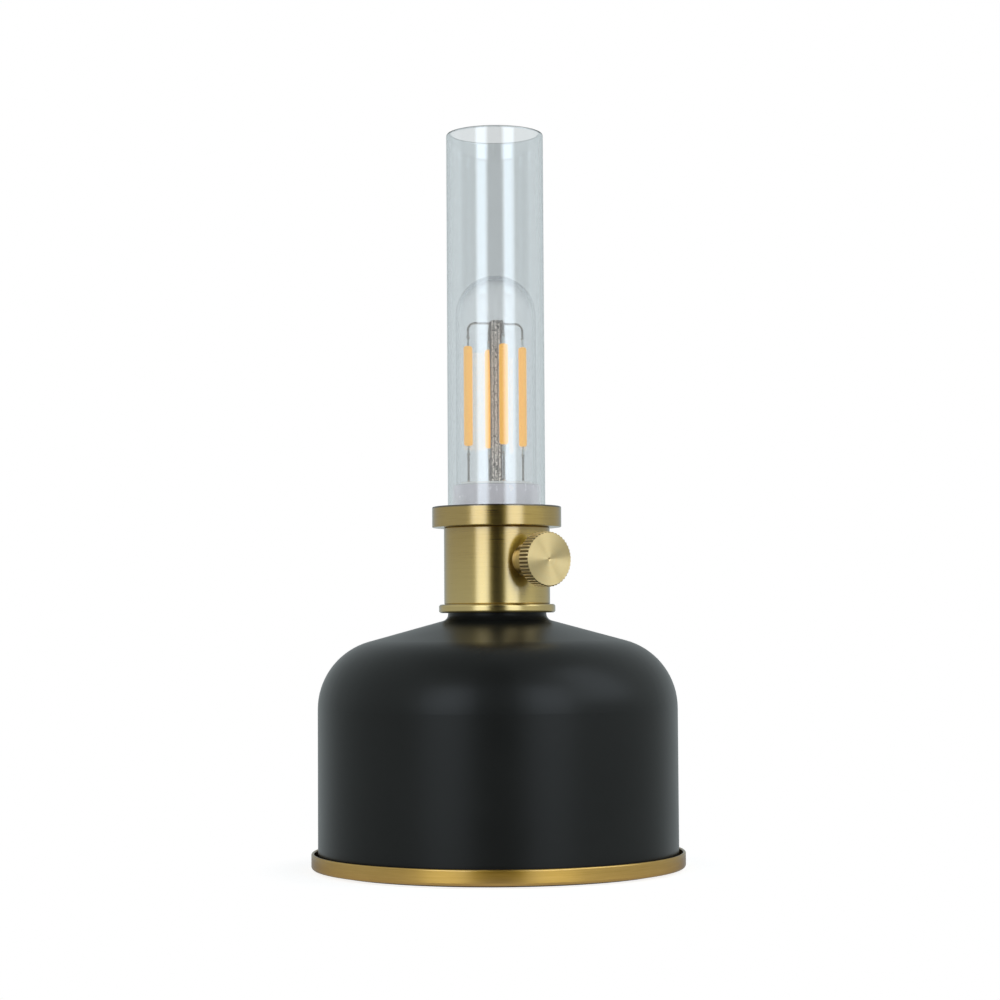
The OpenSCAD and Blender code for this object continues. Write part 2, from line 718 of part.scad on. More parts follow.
module dimmer_wafer() color(wafer_brown) on_knob_axis() translate([0, 0, wafer_back]) {
    difference() {
        union() {
            cylinder(r = can_r, h = wafer_t);
            for (k = [-1, 0, 1]) translate([k*can_r/2 - wafer_t/2, -can_r - terminal_l, 0])
                cube([wafer_t, can_r/2 + terminal_l, wafer_t]);
        }
        translate([0, 0, -over]) cylinder(r = spindle_r + slip, h = wafer_t + 2*over);
    }
}

module dimmer_can() color(zinc) on_knob_axis() translate([0, 0, can_back]) difference() {
    cylinder(r = can_r, h = can_h);
    translate([0, 0, can_t]) cylinder(r = can_r - can_t, h = can_h);
}

module dimmer_rotor() color(black_plastic) on_knob_axis() translate([0, 0, rotor_back])
    difference() {
        union() {
            cylinder(r = can_r - can_t - rotor_gap, h = rotor_t);
            translate([spindle_r + wiper_t, -wiper_w/2, 0])
                cube([wiper_t, wiper_w, wafer_back - rotor_back - slip]);
        }
        translate([0, 0, -over]) cylinder(r = spindle_r + running, h = rotor_t + 2*over);
    }

module dimmer_spindle() color(zinc) on_knob_axis() difference() {
    translate([0, 0, rotor_back]) cylinder(r = spindle_r, h = spindle_end - rotor_back);
    translate([spindle_r - spindle_flat, -spindle_d, knob_back])
        cube([spindle_d, 2*spindle_d, knob_l]);
}

module dimmer_knob() color(brass) on_knob_axis() difference() {
    intersection() {
        translate([0, 0, knob_back]) linear_extrude(knob_l) difference() {
            circle(d = knob_d);
            for (i = [0 : knurl_n - 1]) rotate(i*360/knurl_n)
                translate([knob_d/2, 0]) circle(knurl_r, $fn = 24);
        }
        rotate_extrude() polygon([[0, knob_back], [knob_d/2 - knob_bevel, knob_back],
            [knob_d/2, knob_back + knob_bevel], [knob_d/2, knob_front - knob_bevel],
            [knob_d/2 - knob_bevel, knob_front], [dimple_d/2, knob_front],
            [0, knob_front - dimple_h]]);
    }
    translate([0, 0, knob_back - over])
        cylinder(r = spindle_r + running, h = spindle_end - knob_back + over);
    translate([0, 0, knob_back + knob_l/2]) rotate([0, 90, 0])
        cylinder(d = grub_d + 2*running, h = knob_d);
}

module knob_grub_screw() color(zinc) on_knob_axis()
    translate([spindle_r - spindle_flat, 0, knob_back + knob_l/2]) rotate([0, 90, 0])
        difference() {
            cylinder(d = grub_d, h = grub_l);
            translate([0, 0, grub_l - grub_socket_h])
                cylinder(d = grub_socket_w/cos(30), h = grub_socket_h + over, $fn = 6);
        }

module knob_ferrule() color(brass) difference() {
    on_knob_axis() rotate_extrude()
        edged_section(bush_d/2 + running, ferrule_d/2, collar_in_r, ferrule_end, brass_edge);
    translate([0, 0, knob_z - ferrule_d])
        cylinder(r = collar_r + running, h = 2*ferrule_d);
}

// Power pack

module cell_carrier() color(black_plastic) difference() {
    union() {
        translate([-carrier_x, -carrier_y, deck_z])
            cube([2*carrier_x, 2*carrier_y, carrier_t]);
        translate([-pcb_w/2, 0, deck_z])
            cube([pcb_w, pcb_screw_y + pcb_boss_d/2, carrier_t]);
        for (x = [-1, 1], y = [-1, 1]) {
            translate([x*cell_offset - cell_r, y*(cell_wall_y + carrier_wall_t/2)
                - carrier_wall_t/2, deck_z]) cube([cell_d, carrier_wall_t,
                cell_wall_top_z - deck_z]);
            translate([x*cell_offset - cell_r - carrier_wall_t, y*cell_l/4 - carrier_wall_t/2,
                deck_z]) cube([cell_d + 2*carrier_wall_t, carrier_wall_t, cell_z - deck_z]);
        }
        for (side = [-1, 1]) translate([side*pcb_screw_x, pcb_screw_y, deck_z])
            cylinder(d = pcb_boss_d, h = pcb_z - deck_z);
    }
    for (side = [-1, 1]) {
        translate([side*cell_offset, -cell_wall_y, cell_z]) rotate([-90, 0, 0])
            cylinder(r = cell_r + fit, h = 2*cell_wall_y);
        translate([0, side*carrier_screw_y, deck_z - over])
            cylinder(d = screw_d + fit, h = carrier_t + 2*over);
        translate([side*pcb_screw_x, pcb_screw_y, deck_z + over])
            cylinder(d = screw_d + fit, h = pcb_z - deck_z);
    }
    translate([0, 0, deck_z - over]) cylinder(r = rod_hole_r + slip, h = carrier_t + 2*over);
}

module battery_cells() color(cell_wrap) for (side = [-1, 1])
    translate([side*cell_offset, 0, cell_z]) rotate([-90*side, 0, 0]) {
        translate([0, 0, -cell_l/2]) cylinder(r = cell_r, h = cell_l - cell_cap_h);
        translate([0, 0, cell_l/2 - cell_cap_h]) cylinder(d = cell_cap_d, h = cell_cap_h);
    }

module cell_contacts() color(bright_metal) {
    for (x = [-1, 1], y = [-1, 1]) translate([x*cell_offset, y*cell_wall_y, 0]) {
        translate([0, 0, cell_z]) rotate([90*y, 0, 0]) cylinder(d = cell_cap_d, h = contact_room);
        translate([-contact_w/2, y < 0 ? 0 : -contact_t, cell_z - contact_w/2])
            cube([contact_w, contact_t, contact_w + contact_t]);
        if (y > 0) translate([-contact_w/2, 0, cell_wall_top_z])
            cube([contact_w, carrier_wall_t, contact_t]);
    }
    translate([-cell_offset, -carrier_y, cell_wall_top_z])
        cube([2*cell_offset, carrier_wall_t, contact_t]);
}

module carrier_screws() color(zinc) for (side = [-1, 1])
    translate([0, side*carrier_screw_y, carrier_top_z]) pan_screw(carrier_t + tray_t);

module driver_board() color(board_green) difference() {
    translate([-pcb_w/2, pcb_front_y, pcb_z]) cube([pcb_w, pcb_l, pcb_t]);
    for (side = [-1, 1]) translate([side*pcb_screw_x, pcb_screw_y, pcb_z - over])
        cylinder(d = screw_d + fit, h = pcb_t + 2*over);
}

module board_parts() color(black_plastic) {
    for (x = [-plug_pitch, 0, plug_pitch])
        translate([x - plug_w/2, plug_y - plug_l/2, pcb_top_z]) cube([plug_w, plug_l, plug_h]);
    for (side = [-1, 1])
        translate([side*(pcb_w - coil_d - coil_gap)/2, pcb_back_y - (coil_d + coil_gap)/2, pcb_top_z])
            cylinder(d = coil_d, h = coil_h);
}

module board_screws() color(zinc) for (side = [-1, 1])
    translate([side*pcb_screw_x, pcb_screw_y, pcb_top_z]) pan_screw(pcb_t + pcb_boss_h/2);

module charge_port() color(bright_metal) on_port_axis() {
    translate([0, 0, port_front_y - port_l]) difference() {
        linear_extrude(port_l) pill(port_w, port_h);
        translate([0, 0, port_t]) linear_extrude(port_l)
            pill(port_w - 2*port_t, port_h - 2*port_t);
    }
    translate([-port_w/4, -port_t, port_front_y - port_l + port_t])
        cube([port_w/2, 2*port_t, port_l*0.75]);
}

module port_bezel() color(black_plastic) difference() {
    union() {
        on_port_axis() translate([0, 0, dome_in_r - bezel_t]) linear_extrude(bezel_t + dome_t)
            pill(port_w + 2*(bezel_t + fit), port_h + 2*(bezel_t + fit));
        intersection() {
            on_port_axis() linear_extrude(dome_d)
                pill(port_w + 2*(bezel_t + bezel_lip), port_h + 2*(bezel_t + bezel_lip));
            translate([0, 0, port_z - dome_t - port_w]) rotate_extrude()
                plain_section(dome_r + running, dome_r + bezel_lip_t, 0, 2*(port_w + dome_t));
        }
    }
    on_port_axis() linear_extrude(dome_d) pill(port_w + 2*fit, port_h + 2*fit);
}

// Leads

module battery_leads() color(lead_red) for (side = [-1, 1]) lead(battery_route(side));

module dimmer_leads() color(black_plastic) lead(dimmer_route);

module led_leads() color(lead_white) lead(led_route);

foot_pad();
base_tray();
tie_rod();
tie_rod_nuts();
tie_rod_washers();
body_dome();
neck_ring();
neck_collar();
gallery_ring();
chimney_seat();
glass_chimney();
bulb_glass();
led_board();
stem_tube();
stem_leads();
stem_hub();
led_filaments();
filament_pins();
support_wires();
dimmer_bush();
dimmer_wafer();
dimmer_can();
dimmer_rotor();
dimmer_spindle();
dimmer_knob();
knob_grub_screw();
knob_ferrule();
cell_carrier();
battery_cells();
cell_contacts();
carrier_screws();
driver_board();
board_parts();
board_screws();
charge_port();
port_bezel();
battery_leads();
dimmer_leads();
led_leads();
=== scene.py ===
"""Looks of a cordless table lantern in the shape of an oil lamp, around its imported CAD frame.

Metres, +Z up. The lantern's axis is the Z axis, and the dimmer knob points along -Y.
"""

import math

import bmesh
import bpy
from mathutils import Matrix, Vector


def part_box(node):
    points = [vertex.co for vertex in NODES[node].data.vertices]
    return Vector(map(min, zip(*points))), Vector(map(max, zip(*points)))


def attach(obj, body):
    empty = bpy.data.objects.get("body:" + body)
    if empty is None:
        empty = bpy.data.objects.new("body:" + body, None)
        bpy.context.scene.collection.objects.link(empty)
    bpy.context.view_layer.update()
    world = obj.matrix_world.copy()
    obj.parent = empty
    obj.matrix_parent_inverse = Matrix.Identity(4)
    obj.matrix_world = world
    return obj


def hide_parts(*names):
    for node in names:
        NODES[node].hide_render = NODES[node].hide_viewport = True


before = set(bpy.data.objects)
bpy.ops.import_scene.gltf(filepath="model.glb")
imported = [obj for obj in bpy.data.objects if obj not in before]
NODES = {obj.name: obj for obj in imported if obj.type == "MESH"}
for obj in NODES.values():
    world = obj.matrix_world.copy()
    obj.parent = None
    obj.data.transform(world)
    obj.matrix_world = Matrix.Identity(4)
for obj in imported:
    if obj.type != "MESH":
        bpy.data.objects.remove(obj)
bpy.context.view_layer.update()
SCENE = bpy.context.scene
MM = 0.001

# Camera: the photograph is taken from the left of the knob, at about the height of the dome's top
CAMERA_AZIMUTH = math.radians(-35.0)
CAMERA_DISTANCE = 0.993
EYE_HEIGHT = 0.0997
AIM_HEIGHT = 0.1501
AIM_RIGHT = 0.0014
CAMERA_ROLL = math.radians(-0.34)
LENS_MM = 87.31
SENSOR_MM = 36.0
TO_CAMERA = Vector((math.sin(CAMERA_AZIMUTH), -math.cos(CAMERA_AZIMUTH), 0.0))
CAMERA_RIGHT = Vector((math.cos(CAMERA_AZIMUTH), math.sin(CAMERA_AZIMUTH), 0.0))

# Bulb: the filaments' coats, the stem, and the solder and welds of the wires
FILAMENTS = 4
FILAMENT_TURN = math.radians(-20.0)
COAT_ROUND = 1.1 * MM
COAT_END_STEPS = 6
COAT_SIDES = 24
CHIPS = 28
CHIP_STEPS = 6
CHIP_SWELL = 0.07 * MM
CHIP_WAVE = 1.4 * MM
STEM_FOOT_R = 2.3 * MM
STEM_WAIST_R = 2.05 * MM
STEM_TOP_R = 2.6 * MM
STEM_WAIST_AT = 0.5
STEM_LOBE = 0.28 * MM
STEM_TURN = math.radians(-35.0)
STEM_ACROSS = (math.cos(STEM_TURN), math.sin(STEM_TURN), 0.0)
STEM_SEAM_AT = 0.75 * MM
STEM_RIPPLE = 0.08 * MM
RIPPLE_FAST = 61.0
RIPPLE_SLOW = 23.0
RIPPLE_TWIST = 40.0
STEM_STEPS = 120
CAP_STEPS = 16
CAP_LOBE = 0.45 * MM
CAP_FLAT = 0.75
CAP_ROUND_FROM = 0.35
STEM_SIDES = 36
SOLDER_H = 1.1 * MM
SOLDER_FOOT_R = 1.3 * MM
SOLDER_TIP_R = 0.5 * MM
BEAD_H = 1.5 * MM
BEAD_R = 0.75 * MM
BEAD_BLUNT = 0.7
JOINT_STEPS = 5
JOINT_SIDES = 16

# Charge port: the tongue around its metal core, and the contacts
TONGUE_W = 4.7 * MM
TONGUE_T = 0.86 * MM
TONGUE_L = 5.7 * MM
TONGUE_SETBACK = 0.4 * MM
TONGUE_EDGE = 0.12 * MM
CONTACTS = 6
CONTACT_PITCH = 0.62 * MM
CONTACT_W = 0.32 * MM
CONTACT_L = 3.4 * MM
CONTACT_T = 0.08 * MM

# Turned pieces: how finely they are made, the ground edge of the tube's foot, and how near its ends
# a long side gets its points
SHARP = math.radians(50.0)
ARC_STEPS = 12
TRAY_SIDES = 360
TUBE_SIDES = 240
FOOT_EDGE = 0.25 * MM
LONG_SIDE = 1.0 * MM
BRACE = 0.05 * MM

# Brass: length and width of the brush marks
BRUSH_COARSE = (30.0 * MM, 0.9 * MM)
BRUSH_FINE = (12.0 * MM, 0.22 * MM)

# Studio, in degrees: azimuth is from the camera, to the right. A panel has its azimuths, its elevations,
# its level and how soft its sides are. Its upper and lower edges are half as soft.
ROOM_LOW = 0.42
ROOM_HIGH = 0.55
ROOM_RISE = (-6.0, 8.0)
GAP_LEVEL = 0.02
GAP_SOFT = 4.0
PANELS = [
    ((-200, 200), (60, 100), 0.40, 10.0),
    ((55, 95), (14, 60), 1.8, 8.0),
    ((-17, 17), (-40, 100), GAP_LEVEL, GAP_SOFT),
    ((-46, -18), (-1, 40), 2.35, 5.0),
    ((19, 47), (-1, 40), 2.35, 5.0),
]
BACKDROP_TURN = (110.0, 150.0)
BACKDROP_LOW = 0.62
BACKDROP_HIGH = 0.5
BACKDROP_RISE = (2.0, 22.0)
GAP_IN_GLASS = (-24.0, 24.0)
LEVEL_IN_GLASS = 0.60
MIRROR_TURN = (85.0, 105.0)
ROOM_COLOUR = (0.90, 1.0, 1.02, 1.0)
PANEL_COLOUR = (0.90, 1.0, 1.10, 1.0)
FLOOR_RADIUS = 0.105
FLOOR_FADE = 0.080
FLOOR_GLOW = 0.82
FLOOR_SHADE = 0.35
FLOOR_IN_METAL = 0.45
FLOOR_MATT = 0.8
FLOOR_DROP = 0.1 * MM
FLOOR_SIDES = 96


def knob_axis_height():
    """Height of the axis that the knob turns on."""
    low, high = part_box("dimmer_knob")
    return (low.z + high.z) / 2


KNOB_Z = knob_axis_height()


class Shader:
    """Adds nodes to a material or world and joins their sockets."""

    def __init__(self, owner):
        owner.use_nodes = True
        self.tree = owner.node_tree
        self.tree.nodes.clear()

    def put(self, value, socket):
        if isinstance(value, bpy.types.NodeSocket):
            self.tree.links.new(value, socket)
        else:
            socket.default_value = value

    def add(self, kind, inputs=None, **settings):
        node = self.tree.nodes.new("ShaderNode" + kind)
        for key, value in settings.items():
            setattr(node, key, value)
        for key, value in (inputs or {}).items():
            self.put(value, node.inputs[key])
        return node

    def math(self, operation, a, b=0.0):
        return self.add("Math", {0: a, 1: b}, operation=operation).outputs[0]

    def vector(self, operation, a, b=(0.0, 0.0, 0.0)):
        node = self.add("VectorMath", {0: a, 1: b}, operation=operation)
        scalar = operation in ("LENGTH", "DOT_PRODUCT")
        return node.outputs["Value" if scalar else "Vector"]

    def combine(self, x, y, z):
        return self.add("CombineXYZ", {0: x, 1: y, 2: z}).outputs[0]

    def ramp(self, value, low, high, start=0.0, end=1.0, smooth=False):
        """Runs from start to end while value runs from low to high."""
        inputs = {0: value, 1: low, 2: high, 3: start, 4: end}
        shape = "SMOOTHSTEP" if smooth else "LINEAR"
        return self.add("MapRange", inputs, interpolation_type=shape).outputs[0]

    def noise(self, vector, scale=1.0, detail=2.0, roughness=0.5):
        inputs = {"Vector": vector, "Scale": scale, "Detail": detail, "Roughness": roughness}
        return self.add("TexNoise", inputs).outputs["Fac"]

    def blend(self, factor, a, b):
        """Colour between a and b."""
        return self.add("Mix", {0: factor, 6: a, 7: b}, data_type="RGBA").outputs[2]

    def bump(self, height, strength, depth):
        return self.add("Bump", {"Strength": strength, "Distance": depth, "Height": height}).outputs[0]

    def object_point(self):
        return self.add("TexCoord").outputs["Object"]

    def finish(self, inputs, inside=None):
        """Ends a material in one principled surface, with a volume inside it if there is one."""
        surface = self.add("BsdfPrincipled", inputs)
        output = self.add("OutputMaterial")
        self.tree.links.new(surface.outputs[0], output.inputs["Surface"])
        if inside:
            self.tree.links.new(inside.outputs[0], output.inputs["Volume"])


def rgb(red, green, blue):
    return (red, green, blue, 1.0)


def material(name):
    made = bpy.data.materials.new(name)
    return made, Shader(made)


# Materials


def turned_point(shader, knob):
    """Place across the axis of a turned piece, radius, place along the axis, and way along the profile."""
    place = shader.add("SeparateXYZ", {0: shader.object_point()})
    x, y, z = place.outputs
    if knob:
        y, z = shader.math("SUBTRACT", z, KNOB_Z), y
    radius = shader.vector("LENGTH", shader.combine(x, y, 0.0))
    return x, y, radius, z, shader.math("ADD", radius, z)


def brass(name, dark, light, knob=False, roughness=0.25, brushing=0.75, coat=0.9, grooves=False, edges=(),
          painted_light_span=None):
    """Antique brass, brushed around its axis, with dark patina and painted shade in a knob's flutes, a
    painted dark reflection on its chamfer, painted shade along given edges and painted light making it
    paler lower down.
    """
    made, s = material(name)
    x, y, radius, axial, profile = turned_point(s, knob)

    def brushed(length, width):
        along = 1.0 / length
        across = s.math("MULTIPLY", profile, 1.0 / width)
        point = s.combine(s.math("MULTIPLY", x, along), s.math("MULTIPLY", y, along), across)
        return s.noise(point, detail=3.0, roughness=0.65)

    coarse = brushed(*BRUSH_COARSE)
    fine = brushed(*BRUSH_FINE)
    grain = s.math("ADD", s.math("MULTIPLY", coarse, 0.5), s.math("MULTIPLY", fine, 0.5))
    patina = s.noise(s.object_point(), scale=38.0, detail=4.0)
    tone = s.math("ADD", s.math("MULTIPLY", grain, 0.7), s.math("MULTIPLY", patina, 0.3))
    colour = s.blend(s.ramp(tone, 0.36, 0.66), dark, light)
    rough = s.ramp(grain, 0.3, 0.7, roughness - 0.05, roughness + 0.07)
    if grooves:
        low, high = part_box("dimmer_knob")
        rim = (high.z - low.z) / 2
        # Knob flutes: dark patina with painted shade towards the groove bottoms, less on the worn crests.
        depth = s.math("SUBTRACT", axial, low.y)
        worn = s.ramp(radius, rim - 0.5 * MM, rim - 0.2 * MM)
        side = s.ramp(depth, 0.2 * MM, 0.4 * MM)
        groove_patina_and_shade = s.math("MULTIPLY", side, s.math("SUBTRACT", 1.0, worn))
        # Chamfer round the knob's face: a painted dark reflection.
        bevel = s.ramp(radius, rim - 0.48 * MM, rim - 0.38 * MM, 0.0, 0.4)
        bevel = s.math("MULTIPLY", bevel, s.math("SUBTRACT", 1.0, side))
        colour = s.blend(s.math("MAXIMUM", groove_patina_and_shade, bevel), colour, rgb(0.17, 0.11, 0.035))
    # Painted shade lines on the outer rim near each given height: a painted dark reflection along the
    # gallery ring's top edge and a painted shadow along the neck ring's lower edge.
    for rim, height in edges:
        away = s.math("ABSOLUTE", s.math("SUBTRACT", axial, height))
        near = s.ramp(away, 0.5 * MM, 0.9 * MM, 0.9, 0.0)
        outer = s.ramp(radius, rim - 0.9 * MM, rim - 0.5 * MM)
        colour = s.blend(s.math("MULTIPLY", near, outer), colour, rgb(0.03, 0.02, 0.01))
    # Painted light: the brass turns paler lower down, between the neck ring and the gallery.
    if painted_light_span:
        colour = s.blend(s.ramp(axial, *painted_light_span, 0.7, 0.0), colour, rgb(0.85, 0.62, 0.19))
    tangent = s.add("Tangent", direction_type="RADIAL", axis="Y" if knob else "Z").outputs[0]
    s.finish({
        "Base Color": colour,
        "Metallic": 1.0,
        "Roughness": rough,
        "Specular Tint": rgb(0.32, 0.32, 0.30),
        "Anisotropic": brushing,
        "Anisotropic Rotation": 0.25,
        "Tangent": tangent,
        "Normal": s.bump(grain, 0.08, 0.06 * MM),
        "Coat Weight": coat,
        "Coat Roughness": 0.16,
        "Coat IOR": 2.2,
    })
    return made


def black_paint():
    """Satin black powder coat on spun steel, with a faint orange peel."""
    made, s = material("satin_black_paint")
    point = s.object_point()
    peel = s.noise(point, scale=1500.0, detail=2.0)
    mottle = s.noise(point, scale=24.0, detail=4.0)
    colour = s.blend(s.ramp(mottle, 0.35, 0.65), rgb(0.0086, 0.0085, 0.0074), rgb(0.0111, 0.0110, 0.0097))
    s.finish({
        "Base Color": colour,
        "Roughness": s.ramp(mottle, 0.3, 0.7, 0.34, 0.40),
        "Specular IOR Level": 0.19,
        "Normal": s.bump(peel, 0.035, 0.1 * MM),
        "Coat Weight": 0.34,
        "Coat Roughness": 0.3,
        "Coat IOR": 1.35,
    })
    return made


def glass(name, ior, draw_lines, tint, density, glow=0.0, painted_crown_shade=None):
    """Clear glass with draw lines, tinted by its thickness, with painted shade where a round top slants
    and, where one is given, a painted glow.
    """
    made, s = material(name)
    place = s.object_point()
    lines = s.vector("MULTIPLY", place, (420.0, 420.0, 6.0))
    colour = rgb(1.0, 1.0, 1.0)
    # Painted shade on the round top, stronger where the glass slants to the view.
    if painted_crown_shade:
        facing = s.add("LayerWeight", {"Blend": 0.5}).outputs["Facing"]
        slanted = s.ramp(facing, 0.25, 0.85, smooth=True)
        height = s.add("SeparateXYZ", {0: place}).outputs["Z"]
        shade = s.math("MULTIPLY", slanted, s.ramp(height, *painted_crown_shade, smooth=True))
        colour = s.blend(shade, colour, rgb(0.55, 0.55, 0.57))
    inputs = {
        "Base Color": colour,
        "Roughness": 0.0,
        "IOR": ior,
        "Transmission Weight": 1.0,
        # Emission: a painted glow where one is given.
        "Emission Color": rgb(1.0, 0.97, 0.96),
        "Emission Strength": glow,
        "Normal": s.bump(s.noise(lines, detail=1.0), draw_lines, 0.02 * MM),
    }
    s.finish(inputs, s.add("VolumeAbsorption", {"Color": tint, "Density": density}))
    return made


def frosted_stem():
    """Ground glass of the stem, speckled by the metal sputtered on it, dark along its pressed seams, with
    painted shade down its sides and a painted glow for light that doesn't reach it through the bulb.
    """
    made, s = material("frosted_stem")
    speckle = s.noise(s.object_point(), scale=2000.0, detail=2.0, roughness=0.7)
    colour = s.blend(s.ramp(speckle, 0.41, 0.53), rgb(0.035, 0.03, 0.025), rgb(0.92, 0.86, 0.80))
    across = s.math("ABSOLUTE", s.vector("DOT_PRODUCT", s.object_point(), STEM_ACROSS))
    off_seam = s.math("ABSOLUTE", s.math("SUBTRACT", across, STEM_SEAM_AT))
    seam = s.ramp(off_seam, 0.1 * MM, 0.35 * MM, 0.55, 0.0)
    # Painted shade down both outer sides of the pressed stem.
    side = s.ramp(across, 1.6 * MM, 2.0 * MM, 0.0, 0.7)
    colour = s.blend(s.math("MAXIMUM", seam, side), colour, rgb(0.05, 0.045, 0.04))
    s.finish({
        "Base Color": colour,
        "Roughness": 0.5,
        # Painted glow: stands in for light that doesn't reach the stem through the bulb.
        "Emission Color": colour,
        "Emission Strength": 0.42,
        "Normal": s.bump(speckle, 0.4, 0.1 * MM),
    })
    return made


def milky_resin(top):
    """Cast acrylic, milky with a trace of violet, with a painted glow for light from the bulb and a painted
    shadow along its top edge.
    """
    made, s = material("milky_resin")
    haze = s.noise(s.object_point(), scale=260.0, detail=3.0)
    colour = s.blend(s.ramp(haze, 0.3, 0.7), rgb(0.76, 0.74, 0.77), rgb(0.82, 0.80, 0.83))
    height = s.add("SeparateXYZ", {0: s.object_point()}).outputs["Z"]
    # Painted shadow along the top edge, where the board sits on the seat.
    edge = s.ramp(height, top - 0.35 * MM, top - 0.1 * MM, 0.0, 0.6)
    colour = s.blend(edge, colour, rgb(0.10, 0.095, 0.09))
    s.finish({
        "Base Color": colour,
        "Roughness": s.ramp(haze, 0.3, 0.7, 0.18, 0.28),
        "IOR": 1.49,
        "Transmission Weight": 0.3,
        # Painted glow: stands in for light from the bulb that doesn't reach the seat through the glass.
        "Emission Color": colour,
        "Emission Strength": 0.34,
        "Normal": s.bump(haze, 0.05, 0.1 * MM),
    })
    return made


def phosphor():
    """Silicone coat of a filament, full of phosphor, with the chips' bulges under it and a painted glow for
    light that doesn't reach it through the glass.
    """
    made, s = material("filament_phosphor")
    point = s.object_point()
    place = s.add("SeparateXYZ", {0: point})
    chips = s.math("SINE", s.math("MULTIPLY", place.outputs["Z"], 2 * math.pi / CHIP_WAVE))
    grain = s.noise(point, scale=2600.0, detail=2.0)
    colour = s.blend(s.ramp(grain, 0.35, 0.65), rgb(0.89, 0.42, 0.035), rgb(0.96, 0.49, 0.055))
    s.finish({
        "Base Color": colour,
        "Roughness": 0.55,
        # Painted glow: stands in for the light that doesn't reach the coat through the glass.
        "Emission Color": colour,
        "Emission Strength": 1.05,
        "Normal": s.bump(s.math("ADD", chips, grain), 0.15, 0.05 * MM),
    })
    return made


def plain_metal(name, dark, light, roughness, scale=900.0):
    """Bare or plated metal with fine random wear."""
    made, s = material(name)
    point = s.object_point()
    wear = s.noise(point, scale=scale, detail=4.0, roughness=0.6)
    s.finish({
        "Base Color": s.blend(s.ramp(wear, 0.35, 0.65), dark, light),
        "Metallic": 1.0,
        "Roughness": s.ramp(wear, 0.3, 0.7, roughness - 0.06, roughness + 0.08),
        "Normal": s.bump(wear, 0.08, 0.08 * MM),
    })
    return made


def grainy_wire():
    """Oxidised wire, speckled light and dark, with a painted glow for light that doesn't reach it through
    the bulb.
    """
    made, s = material("oxidised_wire")
    speckle = s.noise(s.object_point(), scale=2300.0, detail=2.0, roughness=0.7)
    colour = s.blend(s.ramp(speckle, 0.40, 0.60), rgb(0.04, 0.035, 0.03), rgb(0.56, 0.53, 0.50))
    s.finish({
        "Base Color": colour,
        "Metallic": 0.4,
        "Roughness": 0.45,
        # Painted glow: stands in for light that doesn't reach the wires through the bulb.
        "Emission Color": colour,
        "Emission Strength": 0.3,
        "Normal": s.bump(speckle, 0.3, 0.1 * MM),
    })
    return made


def plastic(name, dark, light, roughness, scale, texture, glow=0.0):
    """Moulded plastic or rubber: a grain of one scale in colour, gloss and relief."""
    made, s = material(name)
    grain = s.noise(s.object_point(), scale=scale, detail=3.0)
    s.finish({
        "Base Color": s.blend(s.ramp(grain, 0.35, 0.65), dark, light),
        # Emission: a painted glow where one is given.
        "Emission Color": light,
        "Emission Strength": glow,
        "Roughness": s.ramp(grain, 0.3, 0.7, roughness - 0.06, roughness + 0.06),
        "Normal": s.bump(grain, texture, 0.2 * MM),
    })
    return made


def foam():
    """Closed-cell foam of the foot pad."""
    made, s = material("pad_foam")
    cells = s.add("TexVoronoi", {"Vector": s.object_point(), "Scale": 1100.0}).outputs["Distance"]
    s.finish({
        "Base Color": s.blend(cells, rgb(0.010, 0.010, 0.011), rgb(0.045, 0.045, 0.047)),
        "Roughness": 0.85,
        "Specular IOR Level": 0.25,
        "Normal": s.bump(cells, 0.5, 0.3 * MM),
    })
    return made


def board(name, mask, edge, pad, glow=0.0):
    """Circuit board: coloured solder mask with traces on its faces and bare substrate on its edge."""
    made, s = material(name)
    point = s.object_point()
    up = s.add("SeparateXYZ", {0: s.add("NewGeometry").outputs["Normal"]}).outputs["Z"]
    face = s.ramp(s.math("ABSOLUTE", up), 0.6, 0.8)
    traces = s.add("TexBrick", {
        "Vector": point, "Scale": 260.0, "Mortar Size": 0.06, "Color1": mask, "Color2": mask, "Mortar": pad,
    }).outputs["Color"]
    s.finish({
        "Base Color": s.blend(face, edge, traces),
        # Emission: a painted glow where one is given.
        "Emission Color": mask,
        "Emission Strength": glow,
        "Roughness": 0.38,
        "Normal": s.bump(s.noise(point, scale=3000.0), 0.05, 0.05 * MM),
    })
    return made


def dress(node, made):
    """Gives a CAD node one material."""
    slots = NODES[node].data.materials
    slots.clear()
    slots.append(made)


def box_radius(node):
    """Outer radius of a piece that is turned about the lantern's axis."""
    low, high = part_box(node)
    return (high.x - low.x) / 2


